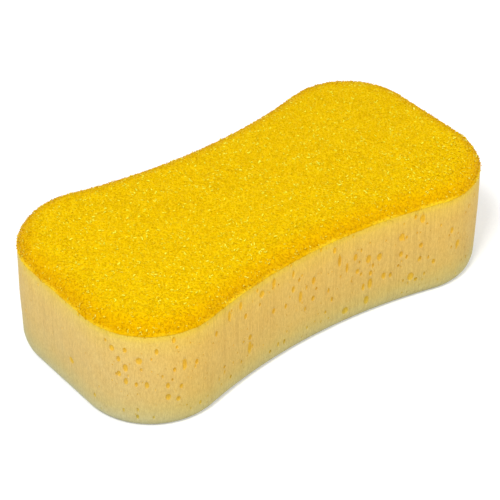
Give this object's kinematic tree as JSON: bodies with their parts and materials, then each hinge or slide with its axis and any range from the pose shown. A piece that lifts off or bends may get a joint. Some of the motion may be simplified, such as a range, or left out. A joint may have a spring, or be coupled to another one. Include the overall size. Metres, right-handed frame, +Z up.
{
  "type": "sponge",
  "caption": "Large waisted wash sponge: a pale foam block with a yellow layer of curled scouring fibre bonded over its top face.",
  "frame": {"origin": "middle of the foam's flat underside", "axes": "+X along the sponge's length, +Y across it, +Z up through the scouring layer"},
  "size_m": [0.2206, 0.1118, 0.0594],
  "materials": {
    "cream_foam": "matt open-cell foam with pores in its cut sides",
    "yellow_fibre": "glossy curled fibres, bonded into a pad"
  },
  "bodies": {
    "root": {"foam_body": "cream_foam", "scrub_layer": "yellow_fibre"}
  },
  "joints": []
}
